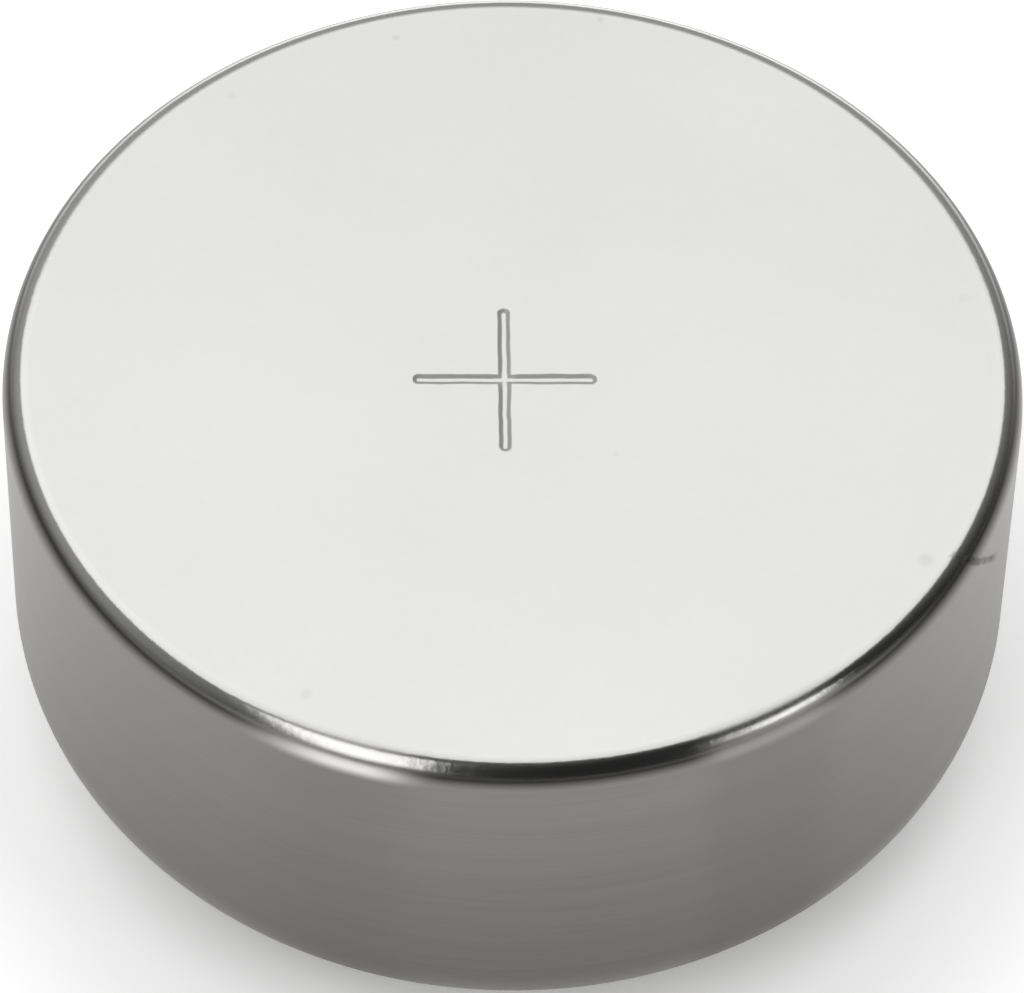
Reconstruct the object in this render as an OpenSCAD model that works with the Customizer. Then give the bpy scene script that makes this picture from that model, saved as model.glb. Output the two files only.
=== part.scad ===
// Alkaline button cell: a round sealed cell, 11.6 mm across and 5.4 mm high.
// Millimetres, +Z up. The Z axis is the cell's own axis, the positive can's face is on top,
// and the cell stands on the negative cap's face at z = 0.
// Sections are drawn from the axis out, X being the radius and Y the height, and turned round Z.

/* [Cell] */
// Height over the two contact faces
cell_h = 5.4; // [4.5:0.1:6.5]
// How far the cap's face stands out past the can's lip
cap_proud = 0.49; // [0.4:0.01:0.6]
// Gap between curved faces that fit each other
fit_gap = 0.02; // [0.01:0.005:0.03]

/* [Can] */
// Outside diameter of the can
can_d = 11.6; // [9.6:0.1:14]
// Thickness of the can's sheet
can_wall = 0.25; // [0.2:0.01:0.3]
// Inside radius of the bend between face and wall
can_bend = 0.05; // [0.02:0.01:0.1]
// Outside radius of the crimp
crimp_r = 1.4; // [1.2:0.05:1.7]
// Angle that the can's lip turns in from the wall
crimp_angle = 67; // [60:1:70]

/* [Plus mark] */
// Length of each of its two strokes
plus_span = 2.1; // [1.6:0.1:3]
// Width of a stroke where it meets the face
stroke_w = 0.15; // [0.1:0.01:0.2]
// Width of a stroke at its floor
stroke_floor_w = 0.05; // [0.02:0.01:0.08]
// Depth of a stroke
stroke_depth = 0.04; // [0.02:0.01:0.08]
// The mark's place to the right of the axis
plus_x = -0.1; // [-0.5:0.05:0.5]
// The mark's place behind the axis
plus_y = -0.2; // [-0.5:0.05:0.5]

/* [Negative cap] */
// Thickness of the cap's sheet
cap_sheet = 0.2; // [0.16:0.01:0.24]
// Inside radius of the bend round the contact face
cap_face_bend = 0.15; // [0.05:0.01:0.2]
// Inside radius of the bend round the shoulder
cap_shoulder_bend = 0.05; // [0.03:0.01:0.08]
// Outside radius of the hollow between neck and shoulder
cap_hollow_r = 0.16; // [0.06:0.01:0.2]
// Gap inside the folded rim
fold_gap = 0.02; // [0.01:0.005:0.03]

/* [Gasket] */
// Thickness of its wall and lip
gasket_wall = 0.24; // [0.2:0.01:0.29]
// Thickness of its base, under the folded rim
gasket_base = 0.3; // [0.25:0.01:0.36]
// Thickness of its inner leg
gasket_leg = 0.2; // [0.16:0.01:0.24]
// Height of its inner leg
gasket_leg_h = 0.7; // [0.5:0.05:0.9]
// Angle that its lip turns in past the can's lip
gasket_proud_angle = 8; // [5:1:10]

/* [Cathode] */
// Height of the pellet
pellet_h = 1.7; // [1.4:0.05:2]
// Chamfer round the pellet, which clears the can's inside radius
pellet_chamfer = 0.15; // [0.12:0.01:0.2]
// Thickness of the support ring's sheet
ring_sheet = 0.15; // [0.12:0.01:0.18]
// Width of the support ring's flange
ring_flange = 0.8; // [0.6:0.05:1]
// Height of the support ring
ring_h = 0.85; // [0.6:0.05:1.1]
// Inside radius of the support ring's bend
ring_bend = 0.05; // [0.03:0.01:0.1]

/* [Separators] */
// Thickness of the barrier film
barrier_t = 0.07; // [0.05:0.01:0.1]
// Clearance round the barrier film
barrier_gap = 0.1; // [0.05:0.01:0.15]
// Thickness of the absorbent disc
absorbent_t = 0.25; // [0.2:0.01:0.3]

/* [Hidden] */

// A worked-out size to the nearest micron, so that outlines that share an edge meet exactly
function micron(x) = round(x * 1000) / 1000;

// Can: its radii, and the centre of the crimp
can_r = can_d / 2;
bore_r = can_r - can_wall;
can_edge_r = can_wall + can_bend;
crimp_x = can_r - crimp_r;
crimp_z = micron(cap_proud + crimp_r * sin(crimp_angle));
crimp_in_r = crimp_r - can_wall;
packed_r = bore_r - fit_gap;

// Stack of flat faces, from the can's face down
face_z = cell_h - can_wall;
pellet_z = face_z - pellet_h;
barrier_z = pellet_z - barrier_t;
base_z = barrier_z - gasket_base;
absorbent_z = barrier_z - absorbent_t;

// Gasket's lip follows the crimp, and the cap's neck clears its end
lip_r = crimp_in_r - fit_gap;
lip_in_r = lip_r - gasket_wall;
lip_angle = crimp_angle + gasket_proud_angle;
neck_r = micron(crimp_x + lip_in_r * cos(lip_angle) - fit_gap);

// Cap: the folded rim fits in the gasket's wall, and the skirt in the rim
channel_r = packed_r - gasket_wall;
rim_r = channel_r - fit_gap;
rim_bore_r = rim_r - cap_sheet;
skirt_r = rim_bore_r - fold_gap;
skirt_bore_r = skirt_r - cap_sheet;
fold_r = cap_sheet + fold_gap / 2;
fold_x = skirt_r + fold_gap / 2;
fold_z = base_z - fit_gap - fold_r;

// Cap: the shoulder's bend presses on the lip, and the hollow takes at most this share of the step
hollow_share = 0.9;
neck_bore_r = neck_r - cap_sheet;
cap_edge_r = cap_sheet + cap_face_bend;
shoulder_r = cap_sheet + cap_shoulder_bend;
shoulder_x = skirt_r - shoulder_r;
press_r = lip_in_r - fit_gap - shoulder_r;
shoulder_z = crimp_z - micron(sqrt(pow(press_r, 2) - pow(shoulder_x - crimp_x, 2)));
ledge_z = shoulder_z - shoulder_r;
hollow_r = min(cap_hollow_r, micron(hollow_share * (shoulder_x - neck_r)));
hollow_x = neck_r + hollow_r;
hollow_z = ledge_z - hollow_r;

// Gasket's inner leg fits in the skirt, and the absorbent disc in the leg
leg_r = skirt_bore_r - fit_gap;
leg_bore_r = leg_r - gasket_leg;
leg_z = base_z - gasket_leg_h;

// Support ring fits in the can, and the pellet round the ring
ring_edge_r = ring_sheet + ring_bend;
ring_edge_x = packed_r - ring_edge_r;
ring_bore_r = packed_r - ring_flange;
ring_top_z = pellet_z + ring_h;

// Rectangle between two radii and two heights
module span(x, z) {
    translate([x[0], z[0]]) square([x[1] - x[0], z[1] - z[0]]);
}

// Quarter turn or less of bent sheet, between two radii round a centre, from one angle to another
module bend(centre, radii, angles) {
    reach = 2 * radii[1];
    translate(centre) intersection() {
        difference() {
            circle(radii[1]);
            circle(radii[0]);
        }
        polygon([[0, 0], for (a = angles) reach * [cos(a), sin(a)]]);
    }
}

// One stroke of the plus mark, along X, with sloping sides and round ends
module stroke() {
    half = (plus_span - stroke_w) / 2;
    floor_w = stroke_floor_w / 2;
    mouth_w = stroke_w - floor_w;
    height = 2 * stroke_depth;
    rotate([90, 0, 90]) translate([0, 0, -half]) linear_extrude(2 * half)
        polygon([[-floor_w, 0], [floor_w, 0], [mouth_w, height], [-mouth_w, height]]);
    for (x = [-half, half])
        translate([x, 0, 0]) cylinder(height, floor_w, mouth_w);
}

module can() {
    color("silver") difference() {
        rotate_extrude() {
            span([0, can_r - can_edge_r], [face_z, cell_h]);
            bend([can_r - can_edge_r, cell_h - can_edge_r], [can_bend, can_edge_r], [0, 90]);
            span([bore_r, can_r], [crimp_z, cell_h - can_edge_r]);
            bend([crimp_x, crimp_z], [crimp_in_r, crimp_r], [-crimp_angle, 0]);
        }
        translate([plus_x, plus_y, cell_h - stroke_depth])
            for (turn = [0, 90]) rotate(turn) stroke();
    }
}

module negative_cap() {
    color("gainsboro") rotate_extrude() {
        span([0, neck_r - cap_edge_r], [0, cap_sheet]);
        bend([neck_r - cap_edge_r, cap_edge_r], [cap_face_bend, cap_edge_r], [-90, 0]);
        span([neck_bore_r, neck_r], [cap_edge_r, hollow_z]);
        bend([hollow_x, hollow_z], [hollow_r, hollow_r + cap_sheet], [90, 180]);
        span([hollow_x, shoulder_x], [ledge_z, ledge_z + cap_sheet]);
        bend([shoulder_x, shoulder_z], [cap_shoulder_bend, shoulder_r], [-90, 0]);
        span([skirt_bore_r, skirt_r], [shoulder_z, fold_z]);
        bend([fold_x, fold_z], [fold_gap / 2, fold_r], [90, 180]);
        bend([fold_x, fold_z], [fold_gap / 2, fold_r], [0, 90]);
        span([rim_bore_r, rim_r], [crimp_z, fold_z]);
    }
}

module gasket() {
    color("ivory") rotate_extrude() {
        span([leg_bore_r, leg_r], [leg_z, base_z]);
        span([leg_bore_r, packed_r], [base_z, barrier_z]);
        span([channel_r, packed_r], [crimp_z, base_z]);
        bend([crimp_x, crimp_z], [lip_in_r, lip_r], [-lip_angle, 0]);
    }
}

module cathode_pellet() {
    seat_r = packed_r - ring_sheet - fit_gap;
    seat_z = pellet_z + ring_sheet + fit_gap;
    color("dimgray") rotate_extrude() polygon([
        [0, pellet_z], [ring_bore_r - fit_gap, pellet_z], [ring_bore_r - fit_gap, seat_z],
        [seat_r - ring_bend, seat_z], [seat_r, seat_z + ring_bend], [seat_r, ring_top_z + fit_gap],
        [packed_r, ring_top_z + fit_gap], [packed_r, face_z - pellet_chamfer],
        [packed_r - pellet_chamfer, face_z], [0, face_z]]);
}

module support_ring() {
    color("lightgray") rotate_extrude() {
        span([ring_bore_r, ring_edge_x], [pellet_z, pellet_z + ring_sheet]);
        bend([ring_edge_x, pellet_z + ring_edge_r], [ring_bend, ring_edge_r], [-90, 0]);
        span([packed_r - ring_sheet, packed_r], [pellet_z + ring_edge_r, ring_top_z]);
    }
}

module barrier_separator() {
    color("wheat") translate([0, 0, barrier_z]) cylinder(barrier_t, r = bore_r - barrier_gap);
}

module absorbent_separator() {
    color("white") translate([0, 0, absorbent_z]) cylinder(absorbent_t, r = leg_bore_r - fit_gap);
}

// The gel fills the cap up to the absorbent disc, inside the cap's bends and the gasket's leg
module anode_gel() {
    low_z = cap_sheet + fit_gap;
    low_r = neck_bore_r - fit_gap;
    step_z = ledge_z + low_z;
    top_z = leg_z - fit_gap;
    top_r = leg_bore_r - fit_gap;
    color("slategray") rotate_extrude() polygon([
        [0, low_z], [low_r - cap_face_bend, low_z], [low_r, low_z + cap_face_bend], [low_r, step_z],
        [leg_r - cap_shoulder_bend, step_z], [leg_r, step_z + cap_shoulder_bend],
        [leg_r, top_z], [top_r, top_z], [top_r, absorbent_z], [0, absorbent_z]]);
}

can();
negative_cap();
gasket();
cathode_pellet();
support_ring();
barrier_separator();
absorbent_separator();
anode_gel();
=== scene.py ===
import math
import bmesh
import bpy
from mathutils import Matrix, Quaternion, Vector, noise


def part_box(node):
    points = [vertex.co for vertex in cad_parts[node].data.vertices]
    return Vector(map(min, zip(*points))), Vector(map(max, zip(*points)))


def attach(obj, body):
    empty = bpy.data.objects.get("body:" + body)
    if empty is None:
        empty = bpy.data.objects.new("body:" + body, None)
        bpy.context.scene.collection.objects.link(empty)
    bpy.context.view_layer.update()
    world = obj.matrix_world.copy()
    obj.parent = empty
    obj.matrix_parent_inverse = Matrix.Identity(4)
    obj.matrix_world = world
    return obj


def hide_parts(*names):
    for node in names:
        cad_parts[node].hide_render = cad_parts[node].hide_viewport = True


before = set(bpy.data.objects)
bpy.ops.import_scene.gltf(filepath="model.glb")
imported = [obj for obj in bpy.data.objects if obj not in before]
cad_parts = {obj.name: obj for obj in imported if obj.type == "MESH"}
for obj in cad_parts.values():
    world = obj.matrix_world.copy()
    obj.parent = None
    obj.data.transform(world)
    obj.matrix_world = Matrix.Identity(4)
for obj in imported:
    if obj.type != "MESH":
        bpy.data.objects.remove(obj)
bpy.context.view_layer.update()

# ---- Positive can ---------------------------------------------------------------------------
# A deep-drawn cup of nickel-plated steel, 0.25 mm thick. Its flat face is the positive contact.
# Its open edge is rolled in over the gasket last of all, which closes the cell.
mm = 0.001
can_low, can_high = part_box("can")
can_r, face_z, lip_z = can_high.x, can_high.z, can_low.z
can_wall = 0.25 * mm
can_bend = 0.05 * mm
crimp_r = 1.4 * mm
crimp_turn = 67
crimp_z = lip_z + crimp_r * math.sin(math.radians(crimp_turn))
flat_r = can_r - can_wall - can_bend


class Sheet:
    """The section of a pressed sheet, followed along the middle of its thickness."""

    guard = 0.005 * mm

    def __init__(self, start, heading, thickness):
        self.at, self.heading, self.half = Vector(start), math.radians(heading), thickness / 2
        self.worn = 0.4 * self.half
        self.stations = [(self.at.copy(), self.heading)]

    def ahead(self):
        return Vector((math.cos(self.heading), math.sin(self.heading)))

    def run(self, length, steps=1):
        """A straight stretch. A point close to each end keeps the shading of a bend off it."""
        stops = [length * i / steps for i in range(1, steps)]
        if self.at.x > 0:
            stops.insert(0, self.guard)
        for reach in [*stops, length - self.guard, length]:
            self.stations.append((self.at + self.ahead() * reach, self.heading))
        self.at += self.ahead() * length
        return self

    def bend(self, radius, angle, steps):
        """A bend of the sheet's middle, to the left where the angle is positive."""
        side = math.copysign(1, angle)
        centre = self.at + Vector((-self.ahead().y, self.ahead().x)) * radius * side
        out = self.at - centre
        for i in range(1, steps + 1):
            part = math.radians(angle) * i / steps
            turned_out = Vector((out.x * math.cos(part) - out.y * math.sin(part),
                                 out.x * math.sin(part) + out.y * math.cos(part)))
            self.stations.append((centre + turned_out, self.heading + part))
        self.at, self.heading = self.stations[-1]
        self.at = self.at.copy()
        return self

    def side(self, sign, ends):
        """One face of the sheet, short of the ends by the width of their worn corners."""
        clear = self.worn + self.guard
        return [at + Vector((-math.sin(turn), math.cos(turn))) * self.half * sign
                for at, turn in self.stations
                if all((at - self.stations[end][0]).length > clear for end in ends)]

    def end(self, last, steps=4):
        """The sheared end of the sheet, with its two corners worn round."""
        at, turn = self.stations[-1 if last else 0]
        ahead = Vector((math.cos(turn), math.sin(turn))) * (1 if last else -1)
        left = Vector((-ahead.y, ahead.x))
        points = []
        for side, first in ((1, 90), (-1, 0)):
            centre = at + left * (self.half - self.worn) * side - ahead * self.worn
            for i in range(steps + 1):
                lean = math.radians(first - 90 * i / steps)
                points.append(centre + (ahead * math.cos(lean) + left * math.sin(lean)) * self.worn)
        return points

    def outline(self):
        """Round the sheet, from the axis back to it, or closed where it starts off the axis."""
        if self.stations[0][0].x < self.guard:
            return self.side(1, [-1]) + self.end(True) + self.side(-1, [-1])[::-1], False
        ends = [0, -1]
        return (self.end(False) + self.side(1, ends) + self.end(True)
                + self.side(-1, ends)[::-1]), True


def begin_tree(tree, kinds, made):
    """Gives a tree its named inputs. Returns their identifiers, a node maker and their sockets."""
    names = {name: tree.interface.new_socket(name=name, in_out="INPUT",
                                             socket_type="NodeSocket" + kind).identifier
             for name, kind in kinds.items()}
    tree.interface.new_socket(name=made, in_out="OUTPUT", socket_type="NodeSocketGeometry")

    def add(kind, sockets, **settings):
        node = tree.nodes.new(kind)
        for name, value in settings.items():
            setattr(node, name, value)
        for name, value in sockets.items():
            if isinstance(value, bpy.types.NodeSocket):
                tree.links.new(value, node.inputs[name])
            else:
                node.inputs[name].default_value = value
        return node

    return names, add, add("NodeGroupInput", {}).outputs


def finish_tree(add, shape, material, made):
    real = add("GeometryNodeRealizeInstances", {"Geometry": shape})
    covered = add("GeometryNodeSetMaterial",
                  {"Geometry": real.outputs["Geometry"], "Material": material})
    add("NodeGroupOutput", {made: covered.outputs["Geometry"]})


def turning_tree():
    """Geometry nodes that turn a section, drawn as radius and height, round the Z axis."""
    tree = bpy.data.node_groups.new("turning", "GeometryNodeTree")
    kinds = {"Section": "Geometry", "Path radius": "Float", "Steps round": "Int",
             "Join distance": "Float", "Material": "Material"}
    names, add, given = begin_tree(tree, kinds, "Turned")
    inward = add("ShaderNodeVectorMath", {0: (-1, 0, 0), "Scale": given["Path radius"]},
                 operation="SCALE")
    drawn = add("GeometryNodeMeshToCurve", {"Mesh": given["Section"]})
    placed = add("GeometryNodeTransform",
                 {"Geometry": drawn.outputs["Curve"], "Translation": inward.outputs["Vector"],
                  "Scale": (1, -1, 1)})
    path = add("GeometryNodeCurvePrimitiveCircle",
               {"Radius": given["Path radius"], "Resolution": given["Steps round"]})
    upright = add("GeometryNodeSetCurveNormal", {"Curve": path.outputs["Curve"]}, mode="Z_UP")
    swept = add("GeometryNodeCurveToMesh",
                {"Curve": upright.outputs["Curve"], "Profile Curve": placed.outputs["Geometry"]})
    joined = add("GeometryNodeMergeByDistance",
                 {"Geometry": swept.outputs["Mesh"], "Distance": given["Join distance"]})
    finish_tree(add, joined.outputs["Geometry"], given["Material"], "Turned")
    return tree, names


turning, turning_inputs = turning_tree()


def dressed(piece, tree, names, values):
    """Puts a tree on a piece and sets its named inputs."""
    made = piece.modifiers.new(tree.name, "NODES")
    made.node_group = tree
    for name, value in values.items():
        made[names[name]] = value


def baked(piece):
    """Swaps a piece's live modifiers for the plain mesh that they make."""
    bpy.context.view_layer.update()
    graph = bpy.context.evaluated_depsgraph_get()
    mesh = bpy.data.meshes.new_from_object(piece.evaluated_get(graph))
    material = next(filter(None, mesh.materials))
    mesh.materials.clear()
    mesh.materials.append(material)
    piece.modifiers.clear()
    piece.data = mesh
    return piece


def edited(piece, work=None):
    """Runs work on a piece's mesh, then makes every face point outwards and shade smoothly."""
    form = bmesh.new()
    form.from_mesh(piece.data)
    if work:
        work(form)
    bmesh.ops.recalc_face_normals(form, faces=form.faces)
    for face in form.faces:
        face.smooth = True
    form.to_mesh(piece.data)
    form.free()
    return piece


def turned(name, section, material, steps=512):
    """A piece turned from a section, which is a list of points and whether it closes."""
    points, closed = section
    edges = [(i, i + 1) for i in range(len(points) - 1)] + [(len(points) - 1, 0)] * closed
    mesh = bpy.data.meshes.new(name)
    mesh.from_pydata([(p[0], p[1], 0) for p in points], edges, [])
    piece = bpy.data.objects.new(name, mesh)
    bpy.context.scene.collection.objects.link(piece)
    dressed(piece, turning, turning_inputs,
            {"Path radius": can_r, "Steps round": steps, "Join distance": 0.1 * Sheet.guard,
             "Material": material})
    return edited(baked(piece))


class Field:
    """A value that varies over a surface, used with ordinary arithmetic."""

    def __init__(self, finish, socket):
        self.finish, self.socket = finish, socket

    def join(self, operation, *values, clamp=False):
        return self.finish.node("ShaderNodeMath", {"operation": operation, "use_clamp": clamp},
                                dict(enumerate(values)))

    def __add__(self, other): return self.join("ADD", self, other)
    def __sub__(self, other): return self.join("SUBTRACT", self, other)
    def __rsub__(self, other): return self.join("SUBTRACT", other, self)
    def __mul__(self, other): return self.join("MULTIPLY", self, other)
    __radd__, __rmul__ = __add__, __mul__

    def size(self):
        return self.join("ABSOLUTE", self)

    def between(self, low, high):
        """0 at low, 1 at high, with an even S curve from one to the other."""
        return self.finish.node("ShaderNodeMapRange", {"interpolation_type": "SMOOTHSTEP"},
                                {"Value": self, "From Min": low, "From Max": high})


class Finish:
    """The nodes of one material or of the world."""

    def __init__(self, owner):
        owner.use_nodes = True
        self.tree = owner.node_tree
        self.tree.nodes.clear()

    def node(self, kind, settings, sockets, out=0):
        made = self.tree.nodes.new(kind)
        for name, value in settings.items():
            setattr(made, name, value)
        for name, value in sockets.items():
            if isinstance(value, Field):
                self.tree.links.new(value.socket, made.inputs[name])
            else:
                made.inputs[name].default_value = value
        return None if out is None else Field(self, made.outputs[out])

    def place(self):
        return self.node("ShaderNodeTexCoord", {}, {}, "Object")

    def scaled(self, x, y, z):
        return self.node("ShaderNodeMapping", {}, {"Vector": self.place(), "Scale": (x, y, z)})

    def axis(self, vector, name):
        return self.node("ShaderNodeSeparateXYZ", {}, {"Vector": vector}, name)

    def vector(self, operation, first, second, out=0):
        return self.node("ShaderNodeVectorMath", {"operation": operation},
                         {0: first, 1: second}, out)

    def grain(self, vector, scale, detail=3.0, roughness=0.5):
        return self.node("ShaderNodeTexNoise", {},
                         {"Vector": vector, "Scale": scale, "Detail": detail,
                          "Roughness": roughness}, "Fac")

    def blend(self, share, first, second):
        """Colours mixed by a share, 0 for the first and 1 for the second."""
        return self.node("ShaderNodeMix", {"data_type": "RGBA"}, {0: share, 6: first, 7: second}, 2)

    def tint(self, colour, amount):
        """A colour made lighter or darker by a varying amount round 1."""
        return self.node("ShaderNodeVectorMath", {"operation": "SCALE"},
                         {0: colour, "Scale": amount})

    def shader(self, sockets):
        surface = self.node("ShaderNodeBsdfPrincipled", {}, sockets)
        self.node("ShaderNodeOutputMaterial", {}, {"Surface": surface}, None)

    def bump(self, height, depth):
        return self.node("ShaderNodeBump", {}, {"Height": height, "Distance": depth})


def radius_of(finish, place):
    """How far a place is from the cell's axis."""
    return finish.vector("LENGTH", finish.vector("MULTIPLY", place, (1, 1, 0)), (0, 0, 0), "Value")


# The face is satin from the press, the edge polished by the die, and the wall drawn with fine
# level lines. Stains are a place on the face, how wide each is, and how dark.
can_metal = bpy.data.materials.new("drawn_nickel")
can_finish = Finish(can_metal)
stains = [(-2.31, -4.67, 0.10, 0.07), (-1.33, 5.03, 0.07, 0.10), (1.09, 5.32, 0.06, 0.10),
          (-3.26, 4.11, 0.07, 0.07), (1.14, -1.30, 0.05, 0.06), (5.17, 1.00, 0.09, 0.05),
          (4.56, -2.81, 0.13, 0.09), (3.07, 4.69, 0.06, 0.10)]
face_colour = (0.750, 0.750, 0.731)
edge_colour = (0.700, 0.694, 0.674)
# The wall is the same nickel as the face, but its colour is written far darker: painted shade.
painted_shade_wall_colour = (0.195, 0.188, 0.178)
face_rough, edge_rough, wall_rough = 0.30, 0.15, 0.36
# The plus is struck into the face by a punch: a flat floor, sloped sides and a rounded lip.
plus_reach = 0.975 * mm
plus_at = Vector((-0.1 * mm, -0.2 * mm))
groove_floor, groove_mouth, groove_depth = 0.016 * mm, 0.080 * mm, 0.032 * mm
groove_rough, groove_rough_spread = 0.22, 0.44
punch_pitch, punch_stray, punch_seed = 0.16 * mm, 0.010 * mm, 7
# A nick runs from the edge down the wall. Its ends are a turn round from the front and a depth
# under the face, and soil lies in it.
nick_from, nick_to = (math.radians(60.8), 0.02 * mm), (math.radians(69.4), 0.93 * mm)
nick_half, nick_depth = 0.05 * mm, 0.014 * mm
nick_spread, nick_fade = 1.6 * nick_half, 2 * can_wall
soil_dark, soil_rough = 0.50, 0.15
nick_length = math.hypot((nick_to[0] - nick_from[0]) * can_r, nick_to[1] - nick_from[1])
nick_along = Vector(((nick_to[0] - nick_from[0]) * can_r, nick_to[1] - nick_from[1])) / nick_length
# A painted sheen, the edge's lighter colour, reaches lower at two places round the edge, under the
# lamps' highlights: where each starts and ends, and how bright it is. Elsewhere a painted dark
# line, painted shade, runs round under the bend.
painted_sheen_places = [(-36, -20, -17, -7, 0.76), (18, 24, 32, 42, 0.14)]
sheen_top, sheen_foot, dark_line_depth = 0.22 * mm, 0.40 * mm, 0.24 * mm
haze, edge_grain, metal_relief = 0.12, 1.6, 0.0012 * mm
# The wall's drawn finish and its painted shade start this far under the face, and a little higher
# round the sides.
drawn_and_shaded_from, drawn_and_shaded_lift = 0.115 * mm, 0.060 * mm

place = can_finish.place()
from_axis = radius_of(can_finish, place)
height = can_finish.axis(place, "Z")
turn = height.join("ARCTAN2", can_finish.axis(place, "X"), 0 - can_finish.axis(place, "Y"))
on_face = ((1 - from_axis.between(flat_r - 0.04 * mm, flat_r + 0.12 * mm))
           * height.between(face_z - 1.2 * can_wall, face_z - 0.8 * can_wall))
sheen_windows = [(turn.between(math.radians(a), math.radians(b))
           * (1 - turn.between(math.radians(c), math.radians(d))), share)
          for a, b, c, d, share in painted_sheen_places]
# At the two places the edge is made hazier, and a painted sheen carries its lighter colour down
# over the top of the wall.
hazy = sum(window for window, share in sheen_windows)
painted_sheen = (sum(window * window * share for window, share in sheen_windows)
            * (1 - (face_z - height).between(sheen_top, sheen_foot)))
wall_top = face_z - drawn_and_shaded_from + turn.size().between(0.4, 1.3) * drawn_and_shaded_lift
on_wall = ((1 - on_face) * (1 - (height - wall_top).between(-0.04 * mm, 0.04 * mm))
           * (1 - painted_sheen))
# Painted shade: a darker line round the top of the wall, under the bend, left off at the two places
# of painted sheen.
painted_dark_line = (1 - (wall_top - height).between(-0.05 * mm, dark_line_depth - 0.05 * mm)) * (1 - hazy)
sunk = face_z - height
struck = (sunk.between(0.05 * groove_depth, 0.3 * groove_depth)
          * (1 - sunk.between(0.75 * groove_depth, 0.98 * groove_depth))
          * (1 - from_axis.between(2 * plus_reach, 3 * plus_reach)))
from_nick = (turn - nick_from[0]) * can_r
under_face = face_z - nick_from[1] - height
down_nick = from_nick * nick_along.x + under_face * nick_along.y
beside_nick = (under_face * nick_along.x - from_nick * nick_along.y
               + (can_finish.grain(place, 5000, 3, 0.6) - 0.5) * (1.2 * nick_half))
smeared = can_finish.grain(place, 9000, 3, 0.6).between(0.32, 0.60)
soiled = ((1 - beside_nick.size().between(0.3 * nick_half, 1.3 * nick_half))
          * from_axis.between(flat_r + 0.02 * mm, flat_r + 0.12 * mm)
          * (1 - down_nick.between(0.85 * nick_length, 1.1 * nick_length))
          * (0.6 + smeared * 0.4))
uneven = can_finish.grain(place, 5500, 2)
mottle = can_finish.grain(place, 650, 4, 0.6)
pores = can_finish.grain(place, 9000, 2)
drawn_lines = can_finish.grain(can_finish.scaled(260, 260, 21000), 1, 3, 0.6)
streaks = can_finish.grain(can_finish.scaled(150, 150, 2600), 1, 2)
stained = sum((1 - can_finish.vector("DISTANCE", place, (x * mm, y * mm, face_z), "Value")
               .between(0.2 * wide * mm, wide * mm)) * dark for x, y, wide, dark in stains)
cloudy = can_finish.grain(place, 260, 2)
face_shade = 1 + (mottle - 0.5) * 0.10 + (cloudy - 0.5) * 0.08 + (pores - 0.5) * 0.03 - stained
# The wall's tone: real drawn lines and streaks, with painted shade that makes it darker towards the
# bottom and along the dark line under the bend.
wall_lines_and_painted_shade = (0.84 + height.between(0, face_z) * 0.14 + (drawn_lines - 0.5) * 0.24
              + (streaks - 0.5) * 0.12) * (1 - painted_dark_line)
colour = can_finish.blend(on_face, can_finish.tint(edge_colour, 1 + (mottle - 0.5) * 0.08),
                          can_finish.tint(face_colour, face_shade))
colour = can_finish.blend(on_wall, colour, can_finish.tint(painted_shade_wall_colour, wall_lines_and_painted_shade))
colour = can_finish.tint(colour, 1 - soiled * soil_dark)
roughness = (edge_rough + hazy * (1 - on_face) * haze
             + on_face * (face_rough - edge_rough + (mottle - 0.5) * 0.06)
             + on_wall * (wall_rough - edge_rough + (drawn_lines - 0.5) * 0.10)
             + struck * (groove_rough + uneven * groove_rough_spread) + soiled * soil_rough)
relief = (on_wall * drawn_lines
          + (1 - on_face) * (1 - on_wall) * can_finish.grain(place, 8000, 2) * edge_grain)
can_finish.shader({"Base Color": colour, "Metallic": 1.0, "Roughness": roughness,
                   "Normal": can_finish.bump(relief, metal_relief)})

wall_run = face_z - can_wall - can_bend - crimp_z
middle_bend = can_bend + can_wall / 2
nick_zone = 0.75 * mm
can_sheet = Sheet((0, face_z - can_wall / 2), 0, can_wall)
can_sheet.run(flat_r).bend(middle_bend, -90, 20)
can_sheet.run(nick_zone, 24).run(wall_run - nick_zone, 4)
can_sheet.bend(crimp_r - can_wall / 2, -crimp_turn, 20)
can = turned("can_shell", can_sheet.outline(), can_metal)

groove_steps = 10


def plus_ring(form, off, depth, side_steps=8, end_steps=10):
    """Points round a plus, at one distance off its centre lines and one depth."""
    arm = [(off + (plus_reach - off) * i / side_steps, -off) for i in range(side_steps)]
    arm += [(plus_reach + off * math.cos(a), off * math.sin(a))
            for a in (math.radians(-90 + 180 * i / end_steps) for i in range(end_steps + 1))]
    arm += [(plus_reach - (plus_reach - off) * i / side_steps, off) for i in range(1, side_steps)]
    points = [(plus_at.x + x * c - y * s, plus_at.y + x * s + y * c, 0)
              for c, s in ((1, 0), (0, 1), (-1, 0), (0, -1)) for x, y in arm]
    strays = [noise.noise_vector(Vector(point) / punch_pitch) * punch_stray for point in points]
    return [form.verts.new((x + stray.x, y + stray.y, face_z - depth))
            for (x, y, z), stray in zip(points, strays)]


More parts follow.
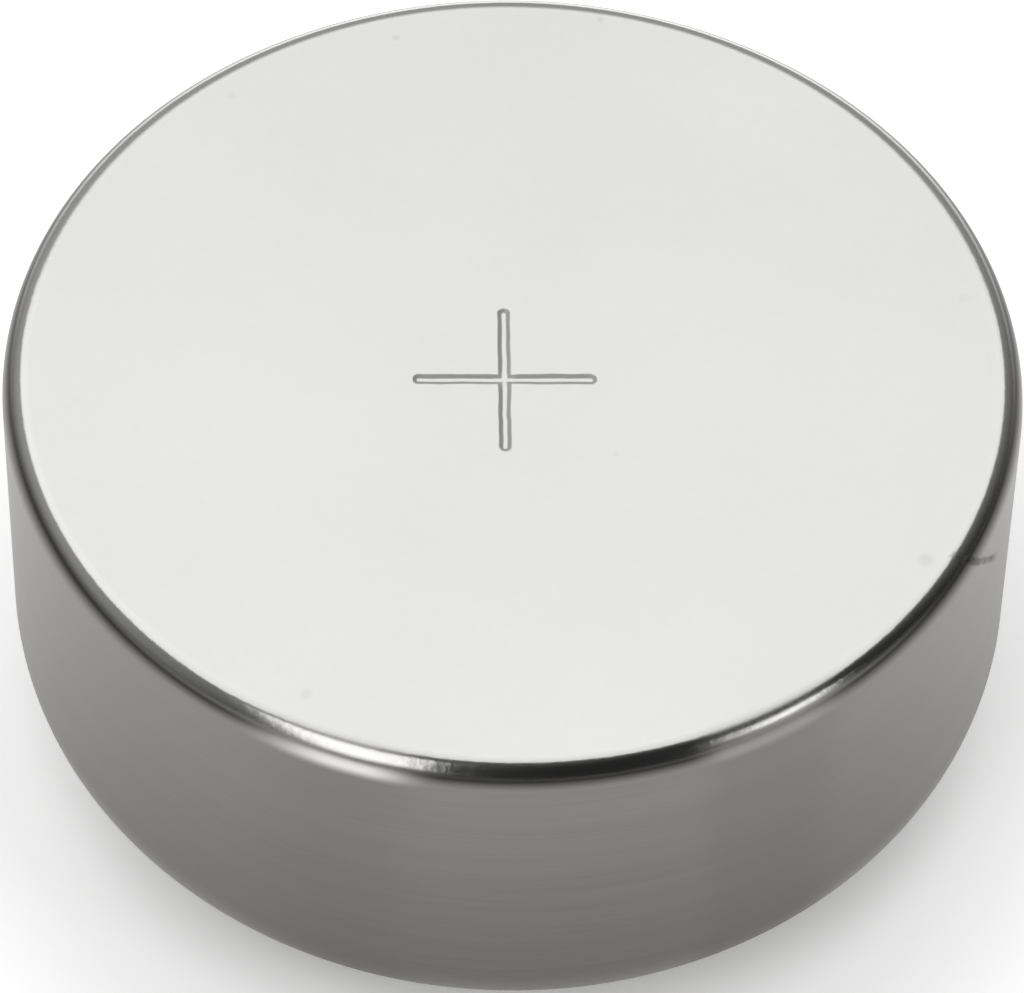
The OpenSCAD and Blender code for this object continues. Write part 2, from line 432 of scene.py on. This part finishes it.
def strike_plus(form):
    """Cuts the plus. Its strays have a fixed seed, because they would differ each run without."""
    noise.seed_set(punch_seed)
    top = [v for v in form.verts if v.co.z > face_z - 0.01 * Sheet.guard]
    pole = min(top, key=lambda v: v.co.xy.length)
    rim = [edge for face in pole.link_faces for edge in face.edges if pole not in edge.verts]
    bmesh.ops.delete(form, geom=[pole], context="VERTS")
    rings = [plus_ring(form, groove_mouth + Sheet.guard, 0)]
    for i in range(groove_steps + 1):
        share = i / groove_steps
        off = groove_mouth + (groove_floor - groove_mouth) * share
        rings.append(plus_ring(form, off, groove_depth * share * share * (3 - 2 * share)))
    count = len(rings[0])
    for outer, inner in zip(rings, rings[1:]):
        for i in range(count):
            j = (i + 1) % count
            form.faces.new((outer[i], outer[j], inner[j], inner[i]))
    mouth = [form.edges.get((rings[0][i], rings[0][(i + 1) % count])) for i in range(count)]
    floor_edges = [form.edges.get((rings[-1][i], rings[-1][(i + 1) % count])) for i in range(count)]
    bmesh.ops.triangle_fill(form, edges=rim + mouth, use_beauty=True)
    bmesh.ops.triangle_fill(form, edges=floor_edges, use_beauty=True)


def nick_edge(form):
    """Presses a shallow line into the edge and the wall, deepest along its middle."""
    for v in form.verts:
        out = v.co.xy.length
        if out > can_r - 0.1 * mm and v.co.z > face_z - mm:
            along = Vector(((math.atan2(v.co.x, -v.co.y) - nick_from[0]) * can_r,
                            face_z - nick_from[1] - v.co.z))
            stray = (along - nick_along * min(max(along.dot(nick_along), 0), nick_length)).length
            fading = min(1, (face_z - v.co.z) / nick_fade)
            press = max(0, 1 - stray / nick_spread) * fading
            v.co.xy *= 1 - nick_depth * press * press * (3 - 2 * press) / out


edited(can, strike_plus)
edited(can, nick_edge)
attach(can, "root")
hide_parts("can")


# ---- Cathode pellet -------------------------------------------------------------------------
# Manganese dioxide and graphite powder, pressed hard into the can. Its top rim is broken to
# clear the can's bend, and a step round its foot seats the support ring.
pellet_low, pellet_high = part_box("cathode_pellet")
ring_low, ring_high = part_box("support_ring")
fit_gap = 0.02 * mm
packed_r, pellet_chamfer = pellet_high.x, 0.15 * mm
ring_sheet, ring_flange, ring_bend = 0.15 * mm, 0.8 * mm, 0.05 * mm
seat_r, seat_z = packed_r - ring_sheet - fit_gap, pellet_low.z + ring_sheet + fit_gap
foot_r = packed_r - ring_flange - fit_gap


def rounded(corners, steps=4):
    """An outline through corners, each a radius, a height and how far its edge is worn back."""
    points = []
    for i, (x, z, worn) in enumerate(corners):
        at = Vector((x, z))
        if worn == 0:
            points.append(at)
            continue
        back, on = ((Vector(corners[(i + step) % len(corners)][:2]) - at).normalized()
                    for step in (-1, 1))
        shares = [j / steps for j in range(steps + 1)]
        points += [at + back * (worn + Sheet.guard),
                   *(at + (back * (1 - t) ** 2 + on * t * t) * worn for t in shares),
                   at + on * (worn + Sheet.guard)]
    return points


def arc(centre, radius, first, last, steps):
    """Corners round an arc, left sharp because they already follow a curve."""
    angles = [math.radians(first + (last - first) * i / steps) for i in range(steps + 1)]
    return [(centre[0] + radius * math.cos(a), centre[1] + radius * math.sin(a), 0) for a in angles]


mix_colour, graphite_colour = (0.046, 0.045, 0.047), (0.13, 0.13, 0.135, 1)
pellet_mix = bpy.data.materials.new("pressed_black_mix")
pellet_finish = Finish(pellet_mix)
place = pellet_finish.place()
powder = pellet_finish.grain(place, 9000, 4, 0.7)
graphite = pellet_finish.grain(place, 26000, 1).between(0.62, 0.70)
press_marks = pellet_finish.grain(pellet_finish.scaled(500, 500, 9000), 1, 2)
colour = pellet_finish.blend(graphite, pellet_finish.tint(mix_colour, powder + 0.55),
                             graphite_colour)
pellet_finish.shader({"Base Color": colour, "Metallic": graphite * 0.6,
                      "Roughness": 0.78 - graphite * 0.34 - (press_marks - 0.5) * 0.2,
                      "Normal": pellet_finish.bump(powder + press_marks * 0.5, 0.02 * mm)})
pellet = turned("pellet_body", (rounded([
    (0, pellet_low.z, 0), (foot_r, pellet_low.z, 0.03 * mm), (foot_r, seat_z, 0.03 * mm),
    (seat_r, seat_z, ring_bend), (seat_r, ring_high.z + fit_gap, 0.03 * mm),
    (packed_r, ring_high.z + fit_gap, 0.03 * mm),
    (packed_r, pellet_high.z - pellet_chamfer, 0.02 * mm),
    (packed_r - pellet_chamfer, pellet_high.z, 0.02 * mm), (0, pellet_high.z, 0)]), False),
    pellet_mix, 256)
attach(pellet, "root")
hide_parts("cathode_pellet")


# ---- Support ring ---------------------------------------------------------------------------
# An angle ring pressed from 0.15 mm steel sheet. It carries the gasket when the can is rolled
# in, and stops the pellet from crumbling at its foot.
steel_colour = (0.56, 0.55, 0.53)
ring_steel = bpy.data.materials.new("plated_steel")
ring_finish = Finish(ring_steel)
place = ring_finish.place()
rolled = ring_finish.grain(ring_finish.scaled(900, 14000, 14000), 1, 3)
tarnish = ring_finish.grain(place, 1800, 3)
ring_finish.shader({"Base Color": ring_finish.tint(steel_colour,
                                                   rolled * 0.2 + tarnish * 0.2 + 0.8),
                    "Metallic": 1.0, "Roughness": 0.36 + (tarnish - 0.5) * 0.16,
                    "Normal": ring_finish.bump(rolled, 0.002 * mm)})
ring_section = Sheet((packed_r - ring_flange, ring_low.z + ring_sheet / 2), 0, ring_sheet)
ring_section.run(ring_flange - ring_sheet - ring_bend).bend(ring_bend + ring_sheet / 2, 90, 8)
ring_section.run(ring_high.z - ring_low.z - ring_sheet - ring_bend)
support_ring = turned("angle_ring", ring_section.outline(), ring_steel, 256)
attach(support_ring, "root")
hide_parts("support_ring")


# ---- Barrier separator ----------------------------------------------------------------------
# A disc of cellulose film, soaked in electrolyte and laid on the pellet. It keeps manganese
# from reaching the zinc.
film_low, film_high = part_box("barrier_separator")
film_edge = 0.02 * mm
film_colour, soaked_colour = (0.80, 0.765, 0.66), (0.70, 0.66, 0.54, 1)
film = bpy.data.materials.new("wet_film")
film_finish = Finish(film)
place = film_finish.place()
fibres = film_finish.grain(film_finish.scaled(900, 5200, 900), 1, 3)
damp = film_finish.grain(place, 420, 3)
film_finish.shader({"Base Color": film_finish.blend(damp.between(0.35, 0.65),
                                                    film_finish.tint(film_colour,
                                                                     fibres * 0.2 + 0.9),
                                                    soaked_colour),
                    "Roughness": 0.42 - damp * 0.2, "Coat Weight": damp.between(0.4, 0.6) * 0.5,
                    "Normal": film_finish.bump(fibres, 0.004 * mm)})
barrier = turned("film_disc", (rounded([
    (0, film_low.z, 0), (film_high.x, film_low.z, film_edge),
    (film_high.x, film_high.z, film_edge), (0, film_high.z, 0)]), False), film, 256)
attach(barrier, "root")
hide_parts("barrier_separator")


# ---- Absorbent separator --------------------------------------------------------------------
# A disc of matted short fibres under the film, which holds electrolyte between the electrodes.
# It is a soft core with loose fibres bedded flat on both of its faces.
felt_low, felt_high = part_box("absorbent_separator")
felt_r = felt_high.x
fibre_layer = 0.02 * mm
fibre_r, fibre_length, fibre_count = 0.008 * mm, 0.7 * mm, 900
fibre_bedding, felt_edge = 1.2 * fibre_r, 0.04 * mm
fibre_colour = (0.85, 0.84, 0.80)


def matting_tree():
    """Geometry nodes that bed short curved fibres on both faces of a disc."""
    tree = bpy.data.node_groups.new("matting", "GeometryNodeTree")
    kinds = {"Core": "Geometry", "Disc radius": "Float", "Fibre radius": "Float",
             "Fibre length": "Float", "Fibres per area": "Float", "Lower face": "Float",
             "Upper face": "Float", "Seed": "Int", "Material": "Material"}
    names, add, given = begin_tree(tree, kinds, "Matted")
    half = add("ShaderNodeMath", {0: given["Fibre length"], 1: 0.5},
               operation="MULTIPLY").outputs[0]
    back = add("ShaderNodeMath", {0: half, 1: -1.0}, operation="MULTIPLY").outputs[0]
    bow = add("ShaderNodeMath", {0: half, 1: 0.35}, operation="MULTIPLY").outputs[0]
    ends = [add("ShaderNodeCombineXYZ", {"X": x}).outputs[0] for x in (back, half)]
    middle = add("ShaderNodeCombineXYZ", {"Y": bow}).outputs[0]
    fibre = add("GeometryNodeCurveQuadraticBezier",
                {"Resolution": 4, "Start": ends[0], "Middle": middle, "End": ends[1]})
    thread = add("GeometryNodeCurvePrimitiveCircle", {"Radius": given["Fibre radius"],
                                                      "Resolution": 4})
    solid = add("GeometryNodeCurveToMesh", {"Curve": fibre.outputs["Curve"],
                                            "Profile Curve": thread.outputs["Curve"],
                                            "Fill Caps": True})
    bed_r = add("ShaderNodeMath", {0: given["Disc radius"], 1: half}, operation="SUBTRACT")
    bed = add("GeometryNodeMeshCircle", {"Radius": bed_r.outputs[0], "Vertices": 48},
              fill_type="NGON")
    layers = [given["Core"]]
    for number, face in enumerate(("Lower face", "Upper face")):
        seed = add("ShaderNodeMath", {0: given["Seed"], 1: number}).outputs[0]
        spots = add("GeometryNodeDistributePointsOnFaces",
                    {"Mesh": bed.outputs["Mesh"], "Density": given["Fibres per area"],
                     "Seed": seed})
        spin = add("FunctionNodeRandomValue", {"Max": (0, 0, 2 * math.pi), "Seed": seed},
                   data_type="FLOAT_VECTOR")
        laid = add("GeometryNodeInstanceOnPoints",
                   {"Points": spots.outputs["Points"], "Instance": solid.outputs["Mesh"],
                    "Rotation": spin.outputs["Value"]})
        level = add("ShaderNodeCombineXYZ", {"Z": given[face]})
        layers.append(add("GeometryNodeTransform", {"Geometry": laid.outputs["Instances"],
                                                    "Translation": level.outputs[0]}
                          ).outputs["Geometry"])
    whole = add("GeometryNodeJoinGeometry", {})
    for layer in layers:
        tree.links.new(layer, whole.inputs["Geometry"])
    finish_tree(add, whole.outputs["Geometry"], given["Material"], "Matted")
    return tree, names


felt = bpy.data.materials.new("matted_fibre")
felt_finish = Finish(felt)
place = felt_finish.place()
tangle = felt_finish.grain(place, 5200, 4, 0.7)
damp = felt_finish.grain(place, 380, 2)
felt_finish.shader({"Base Color": felt_finish.tint(fibre_colour,
                                                   tangle * 0.3 + 0.80 - damp.between(0.4, 0.6)
                                                   * 0.08),
                    "Roughness": 0.86 - damp * 0.25,
                    "Normal": felt_finish.bump(tangle, 0.02 * mm)})
core_low, core_high = felt_low.z + fibre_layer, felt_high.z - fibre_layer
absorbent = turned("fibre_mat", (rounded([
    (0, core_low, 0), (felt_r, core_low, felt_edge),
    (felt_r, core_high, felt_edge), (0, core_high, 0)]), False), felt, 192)
matting, matting_inputs = matting_tree()
bed_area = math.pi * (felt_r - fibre_length / 2) ** 2
dressed(absorbent, matting, matting_inputs,
        {"Disc radius": felt_r, "Fibre radius": fibre_r, "Fibre length": fibre_length,
         "Fibres per area": fibre_count / bed_area, "Lower face": felt_low.z + fibre_bedding,
         "Upper face": felt_high.z - fibre_bedding, "Seed": 3, "Material": felt})
baked(absorbent)
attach(absorbent, "root")
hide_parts("absorbent_separator")


# ---- Gasket ---------------------------------------------------------------------------------
# A moulded nylon ring that seals the cell and keeps the can and the cap apart. Its lip is
# rolled in with the can, and its inner leg stands in the cap's skirt.
gasket_low, gasket_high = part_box("gasket")
gasket_wall, gasket_base = 0.24 * mm, 0.3 * mm
gasket_leg, gasket_leg_height, gasket_worn = 0.2 * mm, 0.7 * mm, 0.04 * mm
lip_turn = crimp_turn + 8
crimp_centre = (can_r - crimp_r, crimp_z)
lip_r = crimp_r - can_wall - fit_gap
leg_bore_r = felt_r + fit_gap
base_z = gasket_high.z - gasket_base
leg_z = base_z - gasket_leg_height
nylon_colour = (0.80, 0.78, 0.70)
nylon = bpy.data.materials.new("moulded_nylon")
nylon_finish = Finish(nylon)
place = nylon_finish.place()
flow = nylon_finish.grain(nylon_finish.scaled(300, 300, 1800), 1, 3)
moulded = nylon_finish.grain(place, 16000, 2)
nylon_finish.shader({"Base Color": nylon_finish.tint(nylon_colour, flow * 0.12 + 0.94),
                     "Roughness": 0.38 + (moulded - 0.5) * 0.16,
                     "Normal": nylon_finish.bump(moulded * 0.4 + flow, 0.004 * mm)})
gasket = turned("gasket_ring", (rounded([
    (leg_bore_r, leg_z, gasket_worn), (leg_bore_r, gasket_high.z, gasket_worn),
    (packed_r, gasket_high.z, gasket_worn), *arc(crimp_centre, lip_r, 0, 4 - lip_turn, 20),
    (crimp_centre[0] + lip_r * math.cos(math.radians(lip_turn)),
     crimp_z - lip_r * math.sin(math.radians(lip_turn)), gasket_worn),
    (crimp_centre[0] + (lip_r - gasket_wall) * math.cos(math.radians(lip_turn)),
     crimp_z - (lip_r - gasket_wall) * math.sin(math.radians(lip_turn)), gasket_worn),
    *arc(crimp_centre, lip_r - gasket_wall, 4 - lip_turn, 0, 20),
    (packed_r - gasket_wall, base_z, gasket_worn),
    (leg_bore_r + gasket_leg, base_z, gasket_worn),
    (leg_bore_r + gasket_leg, leg_z, gasket_worn)]), True), nylon)
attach(gasket, "root")
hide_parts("gasket")


# ---- Anode gel ------------------------------------------------------------------------------
# Zinc powder held in a clear alkaline gel, poured into the cap. It fills the cap up to the
# absorbent disc, and its grains stand in its surface.
gel_low, gel_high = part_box("anode_gel")
cap_sheet_thickness = 0.2 * mm
gel_foot_r, gel_step_z, gel_edge = 4.39 * mm, 1.275 * mm, 0.12 * mm
zinc_grain, zinc_relief = 0.22 * mm, 0.03 * mm
gel_colour, zinc_colour = (0.20, 0.215, 0.235, 1), (0.50, 0.52, 0.54)
zinc_gel = bpy.data.materials.new("zinc_in_gel")
gel_finish = Finish(zinc_gel)
place = gel_finish.place()
grains = gel_finish.node("ShaderNodeTexVoronoi", {"feature": "F1"},
                         {"Vector": place, "Scale": 1 / zinc_grain}, "Distance")
grain_shade = gel_finish.grain(place, 4200, 2)
bright = (1 - grains.between(0.3, 0.55)) * grain_shade.between(0.38, 0.6)
gel_finish.shader({"Base Color": gel_finish.blend(bright, gel_colour,
                                                  gel_finish.tint(zinc_colour,
                                                                  grain_shade + 0.5)),
                   "Metallic": bright * 0.9, "Roughness": 0.46 - bright * 0.14,
                   "Coat Weight": 0.6 - bright * 0.3,
                   "Normal": gel_finish.bump(1 - grains, zinc_relief)})


def split_long(points, longest):
    """Adds points along the straight stretches, so that no step is longer than longest."""
    finer = []
    for a, b in zip(points, points[1:]):
        parts = max(1, round((b - a).length / longest))
        finer += [a.lerp(b, i / parts) for i in range(parts)]
    return [*finer, points[-1]]


def grain_surface(form):
    """Sinks the gel between its grains. Nothing moves outwards, so it stays clear of the cap."""
    form.normal_update()
    inward = {v: -v.normal for v in form.verts}
    for v, way in inward.items():
        v.co += way * zinc_relief * (0.5 + 0.5 * noise.noise(v.co / zinc_grain))


gel = turned("gel_fill", (split_long(rounded([
    (0, gel_low.z, 0), (gel_foot_r, gel_low.z, gel_edge), (gel_foot_r, gel_step_z, gel_edge / 2),
    (gel_high.x, gel_step_z, gel_edge / 2), (gel_high.x, leg_z - fit_gap, gel_edge / 2),
    (felt_r, leg_z - fit_gap, gel_edge / 2), (felt_r, gel_high.z, gel_edge / 2),
    (0, gel_high.z, 0)]), zinc_grain / 2), False), zinc_gel, 256)
edited(gel, grain_surface)
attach(gel, "root")
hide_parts("anode_gel")


# ---- Negative cap ---------------------------------------------------------------------------
# A shallow cup pressed from 0.2 mm nickel-clad steel, whose flat face is the negative contact.
# Its rim is folded back outside its skirt and stands in the gasket. It closes the cell.
cap_low, cap_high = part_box("negative_cap")
cap_colour = (0.70, 0.69, 0.66)
scuff_turns, scuff_stretch = (12, 55, 98, 151), (260, 9000, 260)
# The section's flat stretches and bends, from the axis outwards: contact face, neck, shoulder,
# skirt, and the fold back down the outside.
contact_flat, contact_bend, neck_run = 4.26 * mm, 0.25 * mm, 0.545 * mm
neck_bend, shoulder_flat, shoulder_bend = 0.26 * mm, 0.03 * mm, 0.15 * mm
skirt_run, fold_bend, fold_run = 1.545 * mm, 0.11 * mm, 1.071 * mm
cap_metal = bpy.data.materials.new("clad_nickel")
cap_finish = Finish(cap_metal)
place = cap_finish.place()
on_contact = 1 - cap_finish.axis(place, "Z").between(0.01 * mm, 0.05 * mm)
mottle = cap_finish.grain(place, 700, 4, 0.6)
pores = cap_finish.grain(place, 12000, 2)
scuffs = sum(cap_finish.grain(cap_finish.vector(
    "MULTIPLY", cap_finish.node("ShaderNodeVectorRotate", {"rotation_type": "Z_AXIS"},
                                {"Vector": place, "Angle": math.radians(angle)}),
    scuff_stretch), 1, 1).between(0.67, 0.72) for angle in scuff_turns) * on_contact
cap_finish.shader({"Base Color": cap_finish.tint(cap_colour,
                                                 1 + (mottle - 0.5) * 0.14 + (pores - 0.5) * 0.05
                                                 - scuffs * 0.10),
                   "Metallic": 1.0, "Roughness": 0.31 + (mottle - 0.5) * 0.08 + scuffs * 0.14,
                   "Normal": cap_finish.bump(pores * 0.3 - scuffs, metal_relief)})
cap_section = Sheet((0, cap_sheet_thickness / 2), 0, cap_sheet_thickness)
cap_section.run(contact_flat).bend(contact_bend, 90, 14).run(neck_run).bend(neck_bend, -90, 12)
cap_section.run(shoulder_flat).bend(shoulder_bend, 90, 8)
cap_section.run(skirt_run).bend(fold_bend, -180, 14).run(fold_run)
cap = turned("cap_shell", cap_section.outline(), cap_metal, 384)
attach(cap, "root")
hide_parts("negative_cap")


# ---- Set: floor, lamps and camera -----------------------------------------------------------
# The cell lies on a pale floor under soft lamps, with the side that faces the camera left dark.
# The floor's own white grows with distance from the cell, and is faint in the gap under its rim: a
# painted shadow round and under the cell.
floor_reach, floor_colour = 1.5, (0.94, 0.94, 0.94, 1)
floor_mesh = bpy.data.meshes.new("floor")
floor_mesh.from_pydata([(-floor_reach, -floor_reach, 0), (floor_reach, -floor_reach, 0),
                        (floor_reach, floor_reach, 0), (-floor_reach, floor_reach, 0)],
                       [], [(0, 1, 2, 3)])
floor = bpy.data.objects.new("floor", floor_mesh)
bpy.context.scene.collection.objects.link(floor)
floor_finish = Finish(bpy.data.materials.new("pale_floor"))
floor_mesh.materials.append(bpy.data.materials["pale_floor"])
gap_glow, near_glow = 0.12, 0.50
gap_r, rim_r, white_r = 0.72 * can_r, 1.04 * can_r, 2 * can_r
seen_directly = sum(floor_finish.node("ShaderNodeLightPath", {}, {}, ray)
                    for ray in ("Is Camera Ray", "Is Glossy Ray", "Is Transmission Ray"))
backing = floor_finish.node("ShaderNodeNewGeometry", {}, {}, "Backfacing")
pale = floor_finish.node("ShaderNodeBsdfDiffuse", {}, {"Color": floor_colour})
white = floor_finish.node("ShaderNodeEmission", {}, {"Strength": seen_directly})
away = radius_of(floor_finish, floor_finish.place())
# The floor's own white, lowered near the cell as a painted shadow.
glow = (gap_glow + away.between(gap_r, rim_r) * (near_glow - gap_glow)
        + away.between(can_r, white_r) * (1 - near_glow))
bright = floor_finish.node("ShaderNodeAddShader", {}, {0: pale, 1: white})
lit = floor_finish.node("ShaderNodeMixShader", {}, {0: glow, 1: pale, 2: bright})
clear = floor_finish.node("ShaderNodeBsdfTransparent", {}, {})
seen = floor_finish.node("ShaderNodeMixShader", {}, {0: backing, 1: lit, 2: clear})
floor_finish.node("ShaderNodeOutputMaterial", {}, {"Surface": seen}, None)


def toward(turn, rise):
    """The direction that lies turn degrees to the right of the front, and rise degrees up."""
    a, e = math.radians(turn), math.radians(rise)
    return Vector((math.sin(a) * math.cos(e), -math.cos(a) * math.cos(e), math.sin(e)))


# The sky's brightness: dark in front, grey behind, paler low down at both sides of the dark
# part, and white at the horizon.
front_level, back_level, low_level, white_level = 0.018, 0.38, 0.60, 1.0
world = bpy.data.worlds.new("studio")
bpy.context.scene.world = world
sky = Finish(world)
sky_way = sky.node("ShaderNodeTexCoord", {}, {}, "Generated")
horizon = 1 - sky.axis(sky_way, "Z").between(0.05, 0.09)
behind = sky.vector("DOT_PRODUCT", sky_way, toward(-152, 0), "Value").between(-0.5, 0.95)
low = 1 - sky.axis(sky_way, "Z").between(0.16, 0.42)
ahead = sky.vector("DOT_PRODUCT", sky_way, toward(0, 0), "Value")
aside = ahead.between(-0.1, 0.35) * (1 - ahead.between(0.60, 0.85))
sky_level = front_level + behind * (back_level - front_level)
sky_level = sky_level + low * aside * (1 - behind) * (low_level - front_level)
sky_level = sky_level + horizon * (white_level - sky_level)
background = sky.node("ShaderNodeBackground", {}, {"Color": (1, 1, 1, 1), "Strength": sky_level})
sky.node("ShaderNodeOutputWorld", {}, {"Surface": background}, None)


def softbox(name, turn, rise, wide, tall, glow, lean=0, reach=0.25):
    """A lamp aimed at the cell. Its size and lean are in degrees, and glow is its brightness."""
    width, depth = (2 * reach * math.tan(math.radians(angle / 2)) for angle in (wide, tall))
    lamp = bpy.data.lights.new(name, "AREA")
    lamp.shape, lamp.size, lamp.size_y = "RECTANGLE", width, depth
    lamp.energy = glow * math.pi * width * depth
    holder = bpy.data.objects.new(name, lamp)
    holder.location = toward(turn, rise) * reach
    holder.rotation_mode = "QUATERNION"
    holder.rotation_quaternion = (toward(turn, rise).to_track_quat("Z", "Y")
                                  @ Quaternion((0, 0, 1), math.radians(lean)))
    bpy.context.scene.collection.objects.link(holder)


softbox("top_light", 180, 66, 58, 51, 0.89)
softbox("front_left_light", -34.5, 47, 19, 46, 1.9, lean=17)
softbox("front_right_light", 56.5, 37, 11, 22, 2.5, lean=-20)

view_turn, view_rise, view_distance = -1.6, 50.21, 77.7 * mm
aim = Vector((0.02 * mm, 0, 3.015 * mm))
view_roll = 1.29
camera = bpy.data.objects.new("camera", bpy.data.cameras.new("camera"))
camera.data.lens, camera.data.sensor_width = 240.7, 36
camera.data.clip_start, camera.data.clip_end = 0.005, 5
camera.location = toward(view_turn, view_rise) * view_distance + Vector((0, 0, face_z))
look = (camera.location - aim).to_track_quat("Z", "Y").to_matrix()
camera.rotation_mode = "QUATERNION"
rolled_look = look @ Matrix.Rotation(math.radians(view_roll), 3, "Z")
camera.rotation_quaternion = rolled_look.to_quaternion()
bpy.context.scene.collection.objects.link(camera)
bpy.context.scene.camera = camera
bpy.context.scene.view_settings.view_transform = "Standard"
